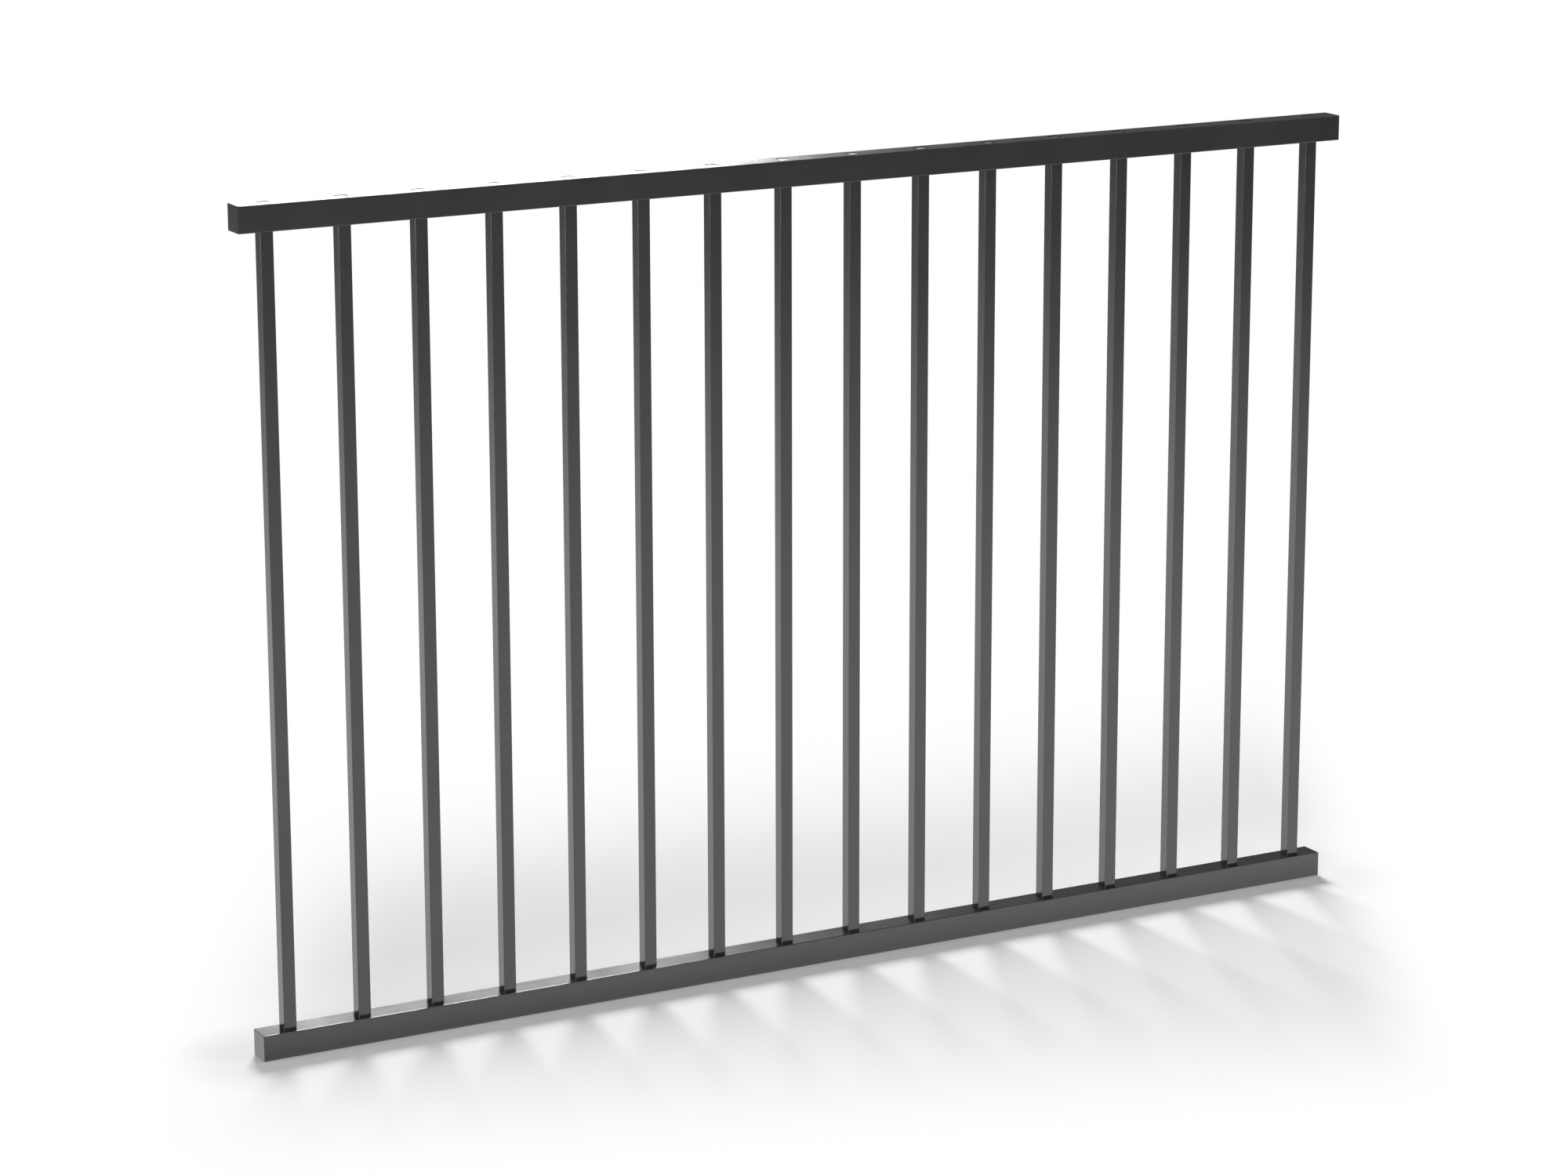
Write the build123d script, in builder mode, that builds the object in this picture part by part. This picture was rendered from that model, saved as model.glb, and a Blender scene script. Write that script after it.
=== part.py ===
"""Flat-topped picket fence panel of hollow square steel tube.

Two punched rails carry a row of slim pickets. Each picket runs right through both rails and ends flush
with their outer faces, where its open bore shows. A plate closes each end of each rail.

Frame: millimetres, +Z up, +X along the panel, +Y through it. The origin is the centre of the bottom
rail's underside.
"""
from build123d import *
import os

# Overall sizes, all from inch stock.
INCH = 25.4
PANEL_LENGTH = 71 * INCH
PANEL_HEIGHT = 48 * INCH

# Rails: square tube, closed by a plate at each end.
RAIL_WIDTH = 1.5 * INCH
RAIL_WALL = 1.6
RAIL_CORNER = 1.0
END_PLATE_THICKNESS = 2.0
END_PLATE_EDGE = 0.5

# Pickets: slim square tube, open at both ends.
PICKET_COUNT = 16
PICKET_PITCH = 4.5 * INCH
PICKET_WIDTH = 0.75 * INCH
PICKET_WALL = 1.2
PICKET_CORNER = 0.8
PICKET_BORE_CORNER = 0.4

# Worked out from the sizes above.
RAIL_TUBE_LENGTH = PANEL_LENGTH - 2 * END_PLATE_THICKNESS
RAIL_BORE = RAIL_WIDTH - 2 * RAIL_WALL
RAIL_BORE_CORNER = 0.5
PICKET_BORE = PICKET_WIDTH - 2 * PICKET_WALL
RAIL_HEIGHTS = {
    "bottom_rail": RAIL_WIDTH / 2,
    "top_rail": PANEL_HEIGHT - RAIL_WIDTH / 2,
}
RAIL_ENDS = {"left": -1, "right": 1}

os.makedirs("parts", exist_ok=True)


def make_rail(name, height):
    """A square tube along X at the given height, punched square top and bottom for every picket."""
    start = Plane.YZ.offset(-RAIL_TUBE_LENGTH / 2)
    with BuildPart() as rail:
        with BuildSketch(start):
            with Locations((0, height)):
                RectangleRounded(RAIL_WIDTH, RAIL_WIDTH, RAIL_CORNER)
                RectangleRounded(RAIL_BORE, RAIL_BORE, RAIL_BORE_CORNER, mode=Mode.SUBTRACT)
        extrude(amount=RAIL_TUBE_LENGTH)
        with BuildSketch(Plane.XY.offset(height - RAIL_WIDTH / 2)):
            with GridLocations(PICKET_PITCH, 0, PICKET_COUNT, 1):
                Rectangle(PICKET_WIDTH, PICKET_WIDTH)
        extrude(amount=RAIL_WIDTH, mode=Mode.SUBTRACT)
    rail.part.label = name
    export_step(rail.part, f"parts/{name}.step")


def make_end_plate(name, height, side):
    """The plate that closes one end of a rail, its rim eased. Side is -1 at the left, 1 at the right."""
    seat = Plane((side * RAIL_TUBE_LENGTH / 2, 0, height), x_dir=(0, 1, 0), z_dir=(side, 0, 0))
    with BuildPart() as plate:
        with BuildSketch(seat):
            RectangleRounded(RAIL_WIDTH, RAIL_WIDTH, RAIL_CORNER)
        extrude(amount=END_PLATE_THICKNESS)
        outer_face = plate.faces().sort_by(Axis.X)[-1 if side > 0 else 0]
        chamfer(outer_face.edges(), END_PLATE_EDGE)
    plate.part.label = name
    export_step(plate.part, f"parts/{name}.step")


def make_picket(name, x):
    """A square tube from the bottom rail's underside to the top rail's top face, bored right through."""
    with BuildPart() as picket:
        with BuildSketch(Plane((x, 0, 0))):
            RectangleRounded(PICKET_WIDTH, PICKET_WIDTH, PICKET_CORNER)
            RectangleRounded(PICKET_BORE, PICKET_BORE, PICKET_BORE_CORNER, mode=Mode.SUBTRACT)
        extrude(amount=PANEL_HEIGHT)
    picket.part.label = name
    export_step(picket.part, f"parts/{name}.step")


for rail_name, rail_height in RAIL_HEIGHTS.items():
    make_rail(rail_name, rail_height)
    for end_name, end_side in RAIL_ENDS.items():
        make_end_plate(f"{rail_name}_{end_name}_end_plate", rail_height, end_side)

for index in range(PICKET_COUNT):
    picket_x = (index - (PICKET_COUNT - 1) / 2) * PICKET_PITCH
    make_picket(f"picket_{index + 1:02d}", picket_x)
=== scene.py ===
"""Finishes a flat-topped picket fence panel: gloss powder coat, plugged picket ends and a pale studio."""
import math

import bpy
import numpy as np
from bpy.props import FloatProperty, FloatVectorProperty, PointerProperty
from mathutils import Matrix, Vector


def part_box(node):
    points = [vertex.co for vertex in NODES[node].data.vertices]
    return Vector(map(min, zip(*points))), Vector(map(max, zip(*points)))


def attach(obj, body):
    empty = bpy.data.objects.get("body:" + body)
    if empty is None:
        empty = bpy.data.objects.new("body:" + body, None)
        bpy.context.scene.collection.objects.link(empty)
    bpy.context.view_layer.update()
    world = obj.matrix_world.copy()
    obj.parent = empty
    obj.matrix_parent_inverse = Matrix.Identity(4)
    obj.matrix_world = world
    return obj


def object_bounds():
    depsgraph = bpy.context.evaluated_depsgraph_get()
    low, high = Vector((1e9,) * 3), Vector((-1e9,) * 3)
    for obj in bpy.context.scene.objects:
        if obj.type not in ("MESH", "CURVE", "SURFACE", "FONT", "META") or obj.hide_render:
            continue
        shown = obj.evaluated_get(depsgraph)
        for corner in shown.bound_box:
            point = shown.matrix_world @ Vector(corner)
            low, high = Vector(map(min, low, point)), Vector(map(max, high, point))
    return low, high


bl_info = {
    "name": "Picket Fence Panel",
    "version": (1, 0, 0),
    "blender": (4, 5, 0),
    "location": "View3D > Sidebar > Fence Panel",
    "description": "Coats and plugs a welded picket fence panel and sets it in a pale studio",
    "category": "Object",
}

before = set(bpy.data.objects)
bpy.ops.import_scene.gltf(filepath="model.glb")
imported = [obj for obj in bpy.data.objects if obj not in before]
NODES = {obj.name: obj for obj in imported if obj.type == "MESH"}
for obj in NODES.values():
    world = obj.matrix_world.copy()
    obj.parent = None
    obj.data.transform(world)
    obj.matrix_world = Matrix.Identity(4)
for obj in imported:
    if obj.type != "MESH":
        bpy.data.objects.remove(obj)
CAD_LOW, CAD_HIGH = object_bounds()

RAIL_NAMES = ("bottom_rail", "top_rail")
PICKET_NAMES = sorted(name for name in NODES if name.startswith("picket_"))
END_PLATE_NAMES = sorted(name for name in NODES if name.endswith("_end_plate"))

MM = 0.001


def span(name):
    """A node's centre and half size, in metres."""
    low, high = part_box(name)
    return (low + high) / 2, (high - low) / 2


PICKET_HALF = span(PICKET_NAMES[0])[1].x

# A plug's clearance in its bore, the radii of its corners and of its rim, and the points along each such arc.
PLUG_GAP = 0.03 * MM
PLUG_CORNER = 0.5 * MM
PLUG_RIM = 0.3 * MM
PLUG_ARC_POINTS = 4

# The range that a noise texture mostly keeps to.
NOISE_RANGE = (0.3, 0.7)

# The coat's pattern. Scales are ripples per metre, and spreads are shares of the mean. The specks have a
# share of the tone, whose range is its own.
CLOUD_SCALE = 9.0
SPECK_SCALE = 2600.0
SPECK_SHARE = 0.35
TONE_RANGE = (0.35, 0.65)
TONE_SPREAD = 0.12
GLOSS_SPREAD = 0.1
PEEL_HEIGHT = 0.02 * MM
PEEL_STRENGTH = 0.12

# The plugs' pattern, in the same terms.
GRAIN_SCALE = 1400.0
PLUG_CLOUD_SCALE = 120.0
PLUG_TONE_SPREAD = 0.2
PLUG_ROUGHNESS = (0.27, 0.33)
PLUG_IOR = 1.5
GRAIN_HEIGHT = 0.01 * MM
GRAIN_STRENGTH = 0.1


class FenceSizes(bpy.types.PropertyGroup):
    """Sizes of the finish and of the plugs."""

    peel_size: FloatProperty(
        name="Orange Peel",
        description="Width of one ripple of the coat's orange peel",
        default=2.2 * MM,
        subtype="DISTANCE",
        unit="LENGTH",
    )
    picket_wall: FloatProperty(
        name="Picket Wall",
        description="Wall of a picket, inside which its bore starts",
        default=1.2 * MM,
        subtype="DISTANCE",
        unit="LENGTH",
    )
    plug_depth: FloatProperty(
        name="Plug Depth",
        description="How far a plug's face lies inside the picket's end",
        default=0.9 * MM,
        subtype="DISTANCE",
        unit="LENGTH",
    )
    plug_thickness: FloatProperty(
        name="Plug Thickness",
        description="Thickness of a plug",
        default=4 * MM,
        subtype="DISTANCE",
        unit="LENGTH",
    )


class FenceColours(bpy.types.PropertyGroup):
    """Colours and gloss of the finishes."""

    coat: FloatVectorProperty(
        name="Powder Coat",
        description="Colour of the powder coat",
        subtype="COLOR",
        default=(0.021, 0.021, 0.0212),
        min=0.0,
        max=1.0,
    )
    coat_roughness: FloatProperty(
        name="Coat Roughness",
        description="Mean roughness of the powder coat",
        default=0.16,
        min=0.0,
        max=1.0,
        subtype="FACTOR",
    )
    coat_ior: FloatProperty(
        name="Coat Refraction",
        description="Index of refraction of the powder coat's hard gloss face",
        default=2.0,
        min=1.0,
        max=3.0,
    )
    plug: FloatVectorProperty(
        name="Plug",
        description="Colour of the plugs in the pickets' ends",
        subtype="COLOR",
        default=(0.012, 0.012, 0.012),
        min=0.0,
        max=1.0,
    )
    floor: FloatVectorProperty(
        name="Floor",
        description="Colour of the studio floor, in the light that it gives back",
        subtype="COLOR",
        default=(0.8, 0.8, 0.8),
        min=0.0,
        max=1.0,
    )
    # Painted shade: where the floor is looked at it takes this darker copy of the floor's colour, which
    # deepens the pool of shade.
    floor_seen_painted_shade: FloatVectorProperty(
        name="Floor Seen",
        description="Colour of the studio floor where it is looked at, in the pool of shade",
        subtype="COLOR",
        default=(0.71, 0.71, 0.71),
        min=0.0,
        max=1.0,
    )


class FenceStudio(bpy.types.PropertyGroup):
    """Light levels of the studio. A brightness of 1 looks white."""

    sky: FloatProperty(
        name="Room",
        description="Brightness of the dim room round the lamps",
        default=0.13,
        min=0.0,
    )
    gloss_sky: FloatProperty(
        name="Room in Gloss",
        description="Brightness of the room where the gloss coat mirrors it",
        default=0.1,
        min=0.0,
    )
    key: FloatProperty(
        name="Key Softbox",
        description="Brightness of the softbox behind the panel",
        default=37.0,
        min=0.0,
    )
    front: FloatProperty(
        name="Front Softbox",
        description="Brightness of the low softbox in front and to the left",
        default=15.0,
        min=0.0,
    )
    overhead: FloatProperty(
        name="Overhead Softbox",
        description="Brightness of the wide softbox overhead",
        default=1.9,
        min=0.0,
    )
    right: FloatProperty(
        name="Right Softbox",
        description="Brightness of the softbox in front and to the right",
        default=3.5,
        min=0.0,
    )
    left: FloatProperty(
        name="Left Softbox",
        description="Brightness of the softbox off the left end",
        default=3.2,
        min=0.0,
    )


def add_node(tree, kind, inputs=None, **settings):
    """Adds a node of this kind with its properties, then its inputs: a value or the output that feeds it."""
    node = tree.nodes.new(kind)
    for key, value in settings.items():
        setattr(node, key, value)
    for key, value in (inputs or {}).items():
        if isinstance(value, bpy.types.NodeSocket):
            tree.links.new(value, node.inputs[key])
        else:
            node.inputs[key].default_value = value
    return node


def new_material(name):
    """An empty material with its output node. Returns the material, its tree and the output."""
    material = bpy.data.materials.new(name)
    material.use_nodes = True
    tree = material.node_tree
    tree.nodes.clear()
    output = add_node(tree, "ShaderNodeOutputMaterial")
    return material, tree, output


def maths(tree, operation, first, second=0.0, third=0.0):
    """The output of one Math node."""
    return add_node(tree, "ShaderNodeMath", {0: first, 1: second, 2: third}, operation=operation).outputs[0]


def axes(tree, vector):
    """The outputs of a vector's X, Y and Z."""
    return add_node(tree, "ShaderNodeSeparateXYZ", {0: vector}).outputs


def remap(tree, value, low, high, new_low, new_high, **settings):
    """Value carried from one range to another, held at its ends."""
    inputs = {"Value": value, "From Min": low, "From Max": high, "To Min": new_low, "To Max": new_high}
    return add_node(tree, "ShaderNodeMapRange", inputs, **settings).outputs["Result"]


def smooth_step(tree, value, low, high, new_low, new_high):
    """Value carried from one range to another along an S curve, held at its ends."""
    return remap(tree, value, low, high, new_low, new_high, interpolation_type="SMOOTHSTEP")


def mix_colour(tree, factor, first, second):
    """The output of one colour mix."""
    return add_node(tree, "ShaderNodeMix", {0: factor, 6: first, 7: second}, data_type="RGBA").outputs[2]


def noise(tree, place, scale, detail, roughness):
    """The output of one noise texture."""
    inputs = {"Vector": place, "Scale": scale, "Detail": detail, "Roughness": roughness}
    return add_node(tree, "ShaderNodeTexNoise", inputs).outputs[0]


def bump(tree, height, strength, distance):
    """A normal from a height, for a shader."""
    inputs = {"Height": height, "Strength": strength, "Distance": distance}
    return add_node(tree, "ShaderNodeBump", inputs).outputs[0]


def shades(colour, low, high):
    """A darker and a lighter shade of a colour, as RGBA."""
    return [tuple(c * k for c in colour) + (1.0,) for k in (low, high)]


def spread(share):
    """The lowest and the highest factor of what varies by this share."""
    return 1.0 - share, 1.0 + share


def coat_shader(tree, place):
    """The powder coat: a near-black gloss film with fine orange peel, cloudy gloss and a varied tone."""
    sizes = bpy.context.scene.fence_sizes
    colours = bpy.context.scene.fence_colours
    peel = noise(tree, place, 1.0 / sizes.peel_size, 2.0, 0.45)
    cloud = noise(tree, place, CLOUD_SCALE, 3.0, 0.5)
    speck = noise(tree, place, SPECK_SCALE, 1.0, 0.5)
    tone = maths(tree, "MULTIPLY_ADD", speck, SPECK_SHARE, maths(tree, "MULTIPLY", cloud, 1.0 - SPECK_SHARE))
    dark, light = shades(colours.coat, *spread(TONE_SPREAD))
    smooth, rough = (colours.coat_roughness * factor for factor in spread(GLOSS_SPREAD))
    return add_node(
        tree,
        "ShaderNodeBsdfPrincipled",
        {
            "Base Color": mix_colour(tree, remap(tree, tone, *TONE_RANGE, 0.0, 1.0), dark, light),
            "Roughness": remap(tree, cloud, *NOISE_RANGE, smooth, rough),
            "Normal": bump(tree, peel, PEEL_STRENGTH, PEEL_HEIGHT),
            "IOR": colours.coat_ior,
        },
    ).outputs[0]


def plug_shader(tree, place):
    """Dull black moulded plastic, with a fine grain and a cloudy tone."""
    grain = noise(tree, place, GRAIN_SCALE, 2.0, 0.5)
    cloud = noise(tree, place, PLUG_CLOUD_SCALE, 2.0, 0.5)
    dark, light = shades(bpy.context.scene.fence_colours.plug, *spread(PLUG_TONE_SPREAD))
    return add_node(
        tree,
        "ShaderNodeBsdfPrincipled",
        {
            "Base Color": mix_colour(tree, cloud, dark, light),
            "Roughness": remap(tree, grain, *NOISE_RANGE, *PLUG_ROUGHNESS),
            "Normal": bump(tree, grain, GRAIN_STRENGTH, GRAIN_HEIGHT),
            "IOR": PLUG_IOR,
        },
    ).outputs[0]


def finish_material(name, shader):
    """The material of this name, made on Object coordinates with this shader where it isn't there yet."""
    if name in bpy.data.materials:
        return bpy.data.materials[name]
    material, tree, output = new_material(name)
    place = add_node(tree, "ShaderNodeTexCoord").outputs["Object"]
    tree.links.new(shader(tree, place), output.inputs[0])
    return material


def coat_nodes(names):
    """Puts the powder coat on every slot of these nodes."""
    material = finish_material("black_powder_coat", coat_shader)
    for name in names:
        slots = NODES[name].material_slots
        if not slots:
            raise RuntimeError(f"{name} has no material slot")
        for slot in slots:
            slot.material = material


def rounded_square(half, corner, arc_points):
    """Points and outward normals round a square with rounded corners.

    Each corner is a quarter circle about (half - corner) on both axes, and the sides are the gaps between the
    corners.
    """
    turn = np.linspace(0.0, np.pi / 2, arc_points)
    angle = (turn[None, :] + np.arange(4)[:, None] * np.pi / 2).ravel()
    normal = np.stack([np.cos(angle), np.sin(angle)], 1)
    quarter = np.repeat(np.arange(4) * np.pi / 2 + np.pi / 4, arc_points)
    centre = (half - corner) * np.sqrt(2) * np.stack([np.cos(quarter), np.sin(quarter)], 1)
    return centre + corner * normal, normal


def plug_rings():
    """Rings of points round one plug, from its inner end out to its face, which lies at height 0.

    Each ring is the outline less its normal times a distance in. The rim is a quarter circle: in by
    rim - rim cos t and up by rim sin t - rim, for t from 0 to a quarter turn.
    """
    sizes = bpy.context.scene.fence_sizes
    outline, normal = rounded_square(PICKET_HALF - sizes.picket_wall - PLUG_GAP, PLUG_CORNER, PLUG_ARC_POINTS)
    t = np.linspace(0.0, np.pi / 2, PLUG_ARC_POINTS)
    inward = np.append(0.0, PLUG_RIM * (1 - np.cos(t)))
    rings = np.empty((len(inward), len(outline), 3))
    rings[..., :2] = outline - inward[:, None, None] * normal
    rings[..., 2] = np.append(-sizes.plug_thickness, PLUG_RIM * (np.sin(t) - 1))[:, None]
    return rings


def add_plugs(name, height, upward):
    """A plug inside every picket's end at this height, as one mesh at the origin that rides on the panel.

    Upward is 1 at the end that looks up and -1 at the end that looks down, where the rings are mirrored and
    each face's points are taken backwards, so that it still points outwards. The walls join each ring to the
    next, and the first and last rings are closed by a face each.
    """
    rings = plug_rings()
    rings[..., 2] = height + upward * (rings[..., 2] - bpy.context.scene.fence_sizes.plug_depth)
    levels, around = rings.shape[:2]
    i, j = np.meshgrid(np.arange(levels - 1), np.arange(around), indexing="ij")
    k = (j + 1) % around
    walls = np.stack([i * around + j, i * around + k, (i + 1) * around + k, (i + 1) * around + j], -1)
    ends = np.stack([np.arange(around)[::-1], np.arange(around) + (levels - 1) * around])
    centres = np.array([[span(picket)[0].x, 0.0, 0.0] for picket in PICKET_NAMES])
    starts = (np.arange(len(centres)) * levels * around)[:, None, None]
    faces = [
        face
        for group in (walls.reshape(-1, 4), ends)
        for face in (group[None, :, ::upward] + starts).reshape(-1, group.shape[1]).tolist()
    ]
    mesh = bpy.data.meshes.new(name)
    mesh.from_pydata((rings.reshape(1, -1, 3) + centres[:, None]).reshape(-1, 3).tolist(), [], faces)
    mesh.materials.append(finish_material("black_plug", plug_shader))
    piece = bpy.data.objects.new(name, mesh)
    bpy.context.scene.collection.objects.link(piece)
    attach(piece, "root")


class FENCE_OT_coat_rails(bpy.types.Operator):
    """Coats both rails and the plates that close their ends"""

    bl_idname = "fence.coat_rails"
    bl_label = "Coat Rails"

    def execute(self, context):
        coat_nodes(RAIL_NAMES + tuple(END_PLATE_NAMES))
        return {"FINISHED"}


class FENCE_OT_coat_pickets(bpy.types.Operator):
    """Coats every picket"""

    bl_idname = "fence.coat_pickets"
    bl_label = "Coat Pickets"

    def execute(self, context):
        coat_nodes(PICKET_NAMES)
        return {"FINISHED"}


class FENCE_OT_plug_pickets(bpy.types.Operator):
    """Closes both ends of every picket with a plug just inside"""

    bl_idname = "fence.plug_pickets"
    bl_label = "Plug Pickets"

    def execute(self, context):
        add_plugs("top_picket_plugs", CAD_HIGH.z, 1)
        add_plugs("bottom_picket_plugs", CAD_LOW.z, -1)
        return {"FINISHED"}


WHITE = (1.0, 1.0, 1.0, 1.0)

# How far the floor lies under the panel, and half its width, in metres.
FLOOR_DROP = 0.2 * MM
FLOOR_HALF = 60.0

# The camera: its place in metres, its angles, and its lens and sensor in millimetres.
CAMERA_PLACE = Vector((-3.0904, -5.6155, 2.1799))
CAMERA_AZIMUTH = math.radians(28.380)
CAMERA_TILT = math.radians(-14.037)
CAMERA_ROLL = math.radians(-0.104)
CAMERA_LENS = 102.686
CAMERA_SENSOR = 36.0

# The pool of shade that the floor keeps, in metres. Each pair is where one side starts to fade and where it
# is white. Left and right run across the view, near runs out in front, turned by its own angle, and far runs
# straight behind the panel.
POOL_LEFT = (-0.62, -0.95)
POOL_RIGHT = (0.76, 0.92)
POOL_NEAR = (-0.16, -0.8)
POOL_NEAR_TURN = math.radians(18)
POOL_FAR = (0.45, 1.25)

# Distances from the panel's foot between which its contact shade gives way to the pool's fade, in metres.
CONTACT_START = 0.03
CONTACT_END = 0.14

# Depth behind the panel over which painted shade darkens the seen floor, and the tone that this painted shade
# reaches there.
PAINTED_SHADE_END = 0.37
PAINTED_SHADE_TONE = 0.82

# The floor in the coat's gloss, a painted reflection with painted shade under the panel and painted light
# behind it. Reach is the distance at half level, and fall is how fast it drops there. Levels are against
# white and are held to it, slopes are per metre, and the painted shade's and the foot's widths are in metres.
# Draw in is how much each metre of depth narrows the mirrored view.
GLOSS_REACH = 4.3
GLOSS_FALL = 3.03
GLOSS_PAINTED_SHADE_LEVEL = 0.5
GLOSS_PAINTED_SHADE_WIDTH = 0.12
GLOSS_FRONT = 0.74
GLOSS_FRONT_SLOPE = 0.16
GLOSS_BACK = 1.12
GLOSS_BACK_SLOPE = -0.16
GLOSS_FOOT = 0.03
GLOSS_DRAW_IN = 1.0 / 3.0

# Heights of a ray, as the sine of its elevation, between which the room in gloss goes from white to dim.
HORIZON_LOW = 0.0
HORIZON_HIGH = 0.04

# Softboxes: place, the point it faces, width and height, in metres.
SOFTBOXES = {
    "key": ((1.25, 4.1, 3.1), (0.6, 0.0, 0.6), 1.8, 1.65),
    "front": ((-4.5, -4.5, 1.3), (0.0, 0.0, 0.6), 3.0, 2.0),
    "overhead": ((0.0, -0.5, 6.0), (0.0, 0.0, 0.0), 4.0, 4.0),
    "right": ((5.2, -3.2, 3.6), (0.0, 0.0, 0.6), 2.5, 2.5),
    "left": ((-5.0, 0.6, 2.0), (0.0, 0.0, 0.6), 2.0, 2.0),
}


def turned_floor(tree, place, angle):
    """Distances on the floor along X and along Y, after the floor is turned by this angle about Z."""
    inputs = {"Vector": place, "Angle": angle}
    turned = add_node(tree, "ShaderNodeVectorRotate", inputs, rotation_type="Z_AXIS").outputs[0]
    return axes(tree, turned)[:2]


def panel_distance(tree, place):
    """Distance to the panel's footprint: hypot of max(|x| - half length, 0) and max(|y| - half width, 0)."""
    beyond = []
    for side, half in zip(axes(tree, place), CAD_HIGH.xy):
        past = maths(tree, "SUBTRACT", maths(tree, "ABSOLUTE", side), half)
        beyond.append(maths(tree, "MAXIMUM", past, 0.0))
    gap = add_node(tree, "ShaderNodeCombineXYZ", {0: beyond[0], 1: beyond[1]}).outputs[0]
    return add_node(tree, "ShaderNodeVectorMath", {0: gap}, operation="LENGTH").outputs["Value"]


def near_panel(tree, place):
    """1 at the panel's foot, falling smoothly to 0 over the contact shade's width."""
    return smooth_step(tree, panel_distance(tree, place), CONTACT_START, CONTACT_END, 1.0, 0.0)


def floor_fade(tree, place):
    """How far the floor has faded to white: 0 in the pool of shade and at the panel's foot, and 1 elsewhere.

    Each of the pool's four sides keeps the shade by a smooth step from 1 inside to 0 outside. The whole is
    (1 - the product of the four) (1 - nearness to the panel).
    """
    across = turned_floor(tree, place, CAMERA_AZIMUTH)[0]
    out_front = turned_floor(tree, place, POOL_NEAR_TURN)[1]
    through = axes(tree, place)[1]
    kept = 1.0
    sides = ((across, POOL_LEFT), (across, POOL_RIGHT), (out_front, POOL_NEAR), (through, POOL_FAR))
    for distance, (inside, outside) in sides:
        values = (1.0, 0.0) if outside > inside else (0.0, 1.0)
        step = smooth_step(tree, distance, *sorted((inside, outside)), *values)
        kept = maths(tree, "MULTIPLY", step, kept)
    clear = maths(tree, "SUBTRACT", 1.0, near_panel(tree, place))
    return maths(tree, "MULTIPLY", maths(tree, "SUBTRACT", 1.0, kept), clear)


def painted_floor_reflection(tree, place):
    """How bright the gloss coat sees the floor: pale by the panel, and dim far out, past the lamps' reach.

    This is a painted reflection of the floor, with painted shade and painted light in it. The level in front
    goes smoothly from the painted shade's value under the panel to the front's across that shade's width.
    Behind, past the panel's foot, it is the back's, brighter as painted light. Each then rises or falls by
    its slope times v, the distance across the mirrored view, drawn in with depth and held at 1 m. All is
    divided by
    1 + (r / reach) ^ fall, with r the distance from the panel's footprint, and held between the room's level
    and white.
    """
    through = axes(tree, place)[1]
    depth = maths(tree, "ABSOLUTE", through)
    away = panel_distance(tree, place)
    drop = maths(tree, "POWER", maths(tree, "DIVIDE", away, GLOSS_REACH), GLOSS_FALL)
    across = turned_floor(tree, place, -CAMERA_AZIMUTH)[0]
    drawn_in = maths(tree, "DIVIDE", across, maths(tree, "MULTIPLY_ADD", depth, GLOSS_DRAW_IN, 1.0))
    v = remap(tree, drawn_in, -1.0, 1.0, -1.0, 1.0)
    # Painted shade under the panel and painted light behind it, in the floor's painted reflection.
    shade = smooth_step(tree, through, -GLOSS_PAINTED_SHADE_WIDTH, 0.0, GLOSS_FRONT, GLOSS_PAINTED_SHADE_LEVEL)
    front = maths(tree, "MULTIPLY_ADD", v, GLOSS_FRONT_SLOPE, shade)
    back = maths(tree, "MULTIPLY_ADD", v, GLOSS_BACK_SLOPE, GLOSS_BACK)
    behind = smooth_step(tree, through, -GLOSS_FOOT, 0.0, 0.0, 1.0)
    near = maths(tree, "MULTIPLY_ADD", maths(tree, "SUBTRACT", back, front), behind, front)
    level = maths(tree, "DIVIDE", near, maths(tree, "ADD", drop, 1.0))
    dim = bpy.context.scene.fence_studio.gloss_sky
    return add_node(tree, "ShaderNodeClamp", {"Value": level, "Min": dim, "Max": 1.0}).outputs[0]


def floor_material():
    """Matt pale floor keeping the panel's shade, deepened by painted shade, and a painted reflection in
    gloss.
    """
    material, tree, output = new_material("studio_floor")
    colours = bpy.context.scene.fence_colours
    place = add_node(tree, "ShaderNodeTexCoord").outputs["Object"]
    rays = add_node(tree, "ShaderNodeLightPath").outputs
    seen = maths(tree, "MAXIMUM", rays["Is Camera Ray"], rays["Is Transmission Ray"])
    glossy = rays["Is Glossy Ray"]
    # Painted shade: the seen floor is a darker copy of the floor, and darker still behind the panel.
    painted_shade_colour, pale = shades(colours.floor_seen_painted_shade, PAINTED_SHADE_TONE, 1.0)
    depth = smooth_step(tree, axes(tree, place)[1], 0.0, PAINTED_SHADE_END, 0.0, 1.0)
    seen_with_painted_shade = mix_colour(tree, depth, pale, painted_shade_colour)
    colour = mix_colour(tree, seen, tuple(colours.floor) + (1.0,), seen_with_painted_shade)
    matt = add_node(tree, "ShaderNodeBsdfDiffuse", {"Color": colour})
    # Glossy rays see the floor as an emission at the painted reflection's level, a painted reflection of
    # light and shade.
    level = maths(tree, "MULTIPLY_ADD", maths(tree, "SUBTRACT", painted_floor_reflection(tree, place), 1.0), glossy, 1.0)
    white = add_node(tree, "ShaderNodeEmission", {"Color": WHITE, "Strength": level})
    share = maths(tree, "MAXIMUM", maths(tree, "MULTIPLY", floor_fade(tree, place), seen), glossy)
    finish = add_node(tree, "ShaderNodeMixShader", {0: share, 1: matt.outputs[0], 2: white.outputs[0]})
    tree.links.new(finish.outputs[0], output.inputs[0])
    return material


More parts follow.
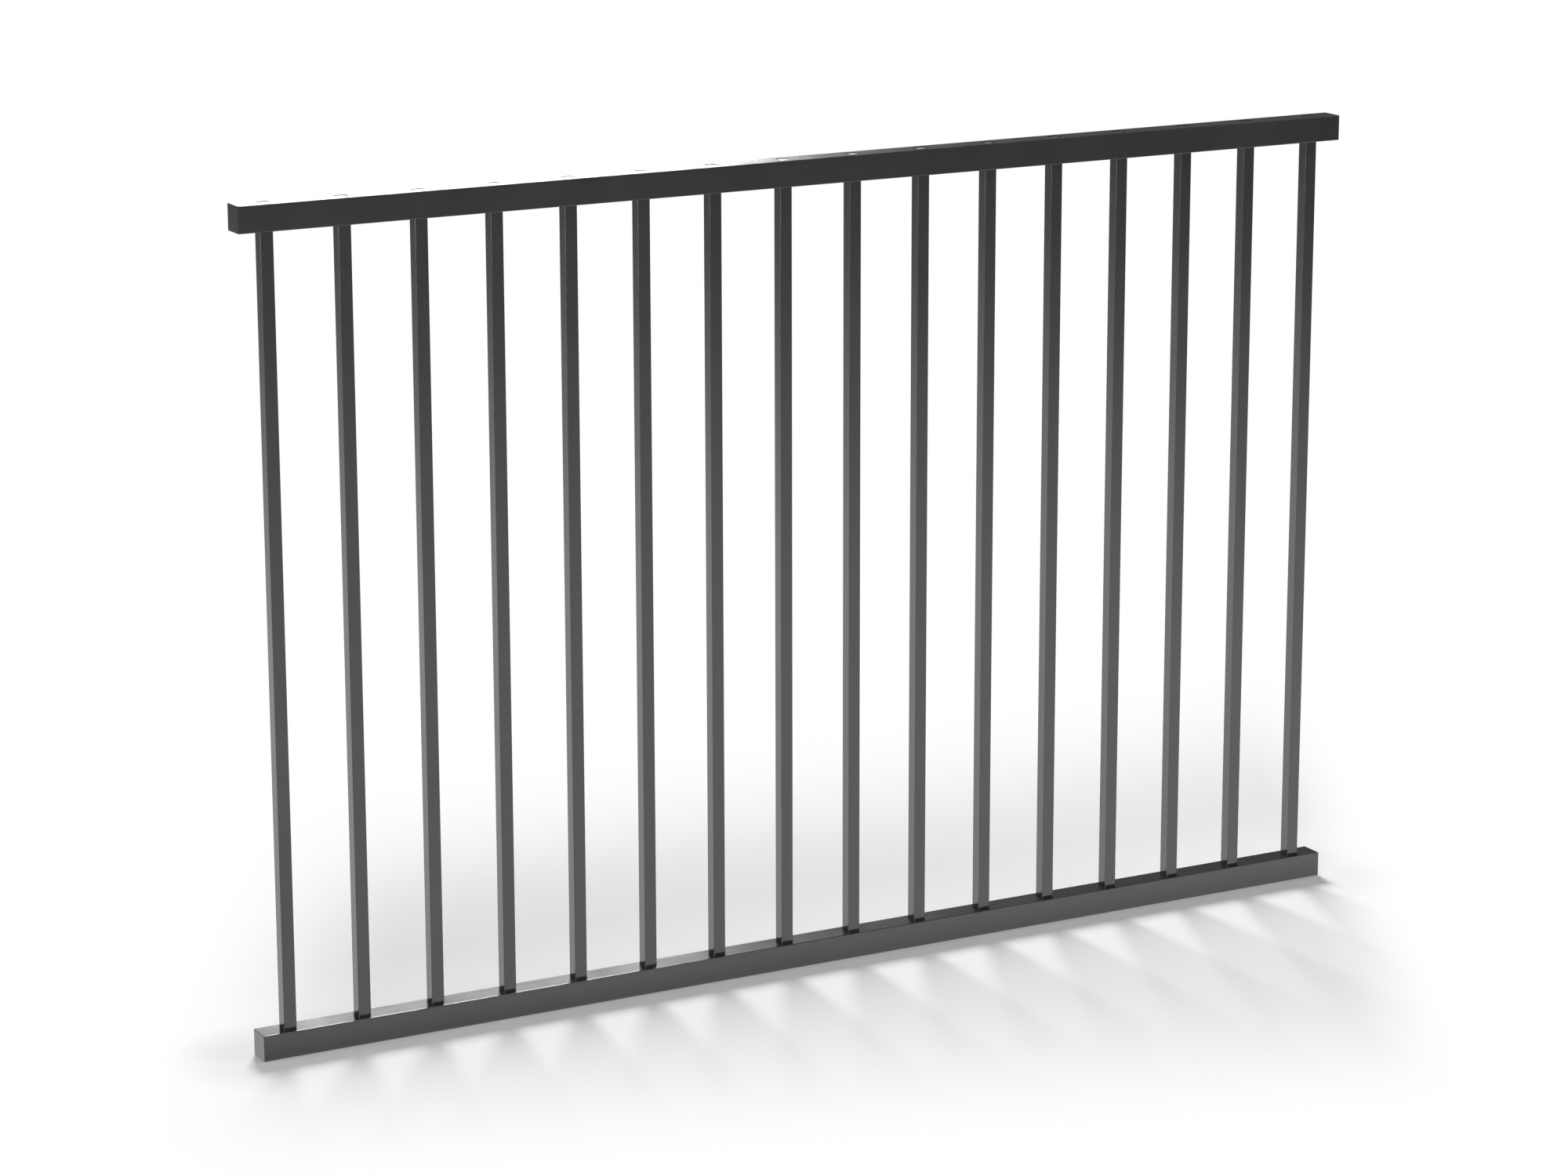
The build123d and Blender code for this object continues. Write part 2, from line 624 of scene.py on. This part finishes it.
def add_floor():
    """A wide square floor just under the panel."""
    points = np.array([[-1, -1, 0], [1, -1, 0], [1, 1, 0], [-1, 1, 0]]) * FLOOR_HALF
    points[:, 2] = -FLOOR_DROP
    mesh = bpy.data.meshes.new("floor")
    mesh.from_pydata(points.tolist(), [], [[0, 1, 2, 3]])
    mesh.materials.append(floor_material())
    floor = bpy.data.objects.new("floor", mesh)
    bpy.context.scene.collection.objects.link(floor)


def add_softbox(name, place, target, width, height, brightness):
    """A rectangular softbox at a place, facing a target.

    Its power in watts is pi times its area times its brightness.
    """
    lamp = bpy.data.lights.new(name, "AREA")
    lamp.shape = "RECTANGLE"
    lamp.size, lamp.size_y = width, height
    lamp.energy = math.pi * width * height * brightness
    holder = bpy.data.objects.new(name, lamp)
    holder.location = place
    holder.rotation_euler = (Vector(target) - Vector(place)).to_track_quat("-Z", "Y").to_euler()
    holder.visible_camera = False
    bpy.context.scene.collection.objects.link(holder)


def set_sky():
    """The dim room that lights the panel evenly, white where it is seen directly or through glass.

    The brightness is the room's, plus what brings it to white on a seen ray, or to its level in gloss. That
    level is white at the horizon and dim higher up.
    """
    studio = bpy.context.scene.fence_studio
    world = bpy.data.worlds.new("studio_sky")
    world.use_nodes = True
    tree = world.node_tree
    tree.nodes.clear()
    rays = add_node(tree, "ShaderNodeLightPath").outputs
    seen = maths(tree, "MAXIMUM", rays["Is Camera Ray"], rays["Is Transmission Ray"])
    lit = maths(tree, "MULTIPLY_ADD", seen, 1.0 - studio.sky, studio.sky)
    ray = add_node(tree, "ShaderNodeTexCoord").outputs["Generated"]
    room = smooth_step(tree, axes(tree, ray)[2], HORIZON_LOW, HORIZON_HIGH, 1.0, studio.gloss_sky)
    mirrored = maths(tree, "SUBTRACT", room, studio.sky)
    strength = maths(tree, "MULTIPLY_ADD", rays["Is Glossy Ray"], mirrored, lit)
    light = add_node(tree, "ShaderNodeBackground", {"Color": WHITE, "Strength": strength})
    output = add_node(tree, "ShaderNodeOutputWorld")
    tree.links.new(light.outputs[0], output.inputs[0])
    bpy.context.scene.world = world


def add_camera():
    """The camera at its place: turned to its azimuth, tilted down, and rolled about its axis."""
    data = bpy.data.cameras.new("camera")
    data.lens = CAMERA_LENS
    data.sensor_width = CAMERA_SENSOR
    camera = bpy.data.objects.new("camera", data)
    turn = (
        Matrix.Rotation(-CAMERA_AZIMUTH, 4, "Z")
        @ Matrix.Rotation(math.pi / 2 + CAMERA_TILT, 4, "X")
        @ Matrix.Rotation(CAMERA_ROLL, 4, "Z")
    )
    camera.matrix_world = Matrix.Translation(CAMERA_PLACE) @ turn
    bpy.context.scene.collection.objects.link(camera)
    bpy.context.scene.camera = camera


class FENCE_OT_set_stage(bpy.types.Operator):
    """Sets the pale floor, the soft lamps, the sky and the camera"""

    bl_idname = "fence.set_stage"
    bl_label = "Set Stage"

    def execute(self, context):
        studio = context.scene.fence_studio
        add_floor()
        set_sky()
        for name, (place, target, width, height) in SOFTBOXES.items():
            add_softbox(f"{name}_softbox", place, target, width, height, getattr(studio, name))
        add_camera()
        context.scene.view_settings.view_transform = "Standard"
        return {"FINISHED"}


class FENCE_PT_panel(bpy.types.Panel):
    """Lists the steps that finish the fence panel"""

    bl_label = "Fence Panel"
    bl_idname = "FENCE_PT_panel"
    bl_space_type = "VIEW_3D"
    bl_region_type = "UI"
    bl_category = "Fence Panel"

    def draw(self, context):
        for group in (context.scene.fence_sizes, context.scene.fence_colours, context.scene.fence_studio):
            box = self.layout.box()
            for key in group.__annotations__:
                box.prop(group, key)
        for step in STEPS:
            self.layout.operator(step.bl_idname)


GROUPS = {"fence_sizes": FenceSizes, "fence_colours": FenceColours, "fence_studio": FenceStudio}
STEPS = (FENCE_OT_coat_rails, FENCE_OT_coat_pickets, FENCE_OT_plug_pickets, FENCE_OT_set_stage)


def register():
    """Adds the property groups to the scene, then the operators and the panel."""
    for name, group in GROUPS.items():
        bpy.utils.register_class(group)
        setattr(bpy.types.Scene, name, PointerProperty(type=group))
    for step in STEPS:
        bpy.utils.register_class(step)
    bpy.utils.register_class(FENCE_PT_panel)


def unregister():
    """Takes out what register adds, in the opposite order."""
    bpy.utils.unregister_class(FENCE_PT_panel)
    for step in reversed(STEPS):
        bpy.utils.unregister_class(step)
    for name, group in GROUPS.items():
        delattr(bpy.types.Scene, name)
        bpy.utils.unregister_class(group)


def main():
    register()
    bpy.ops.fence.coat_rails()
    bpy.ops.fence.coat_pickets()
    bpy.ops.fence.plug_pickets()
    bpy.ops.fence.set_stage()


if __name__ == "__main__":
    main()
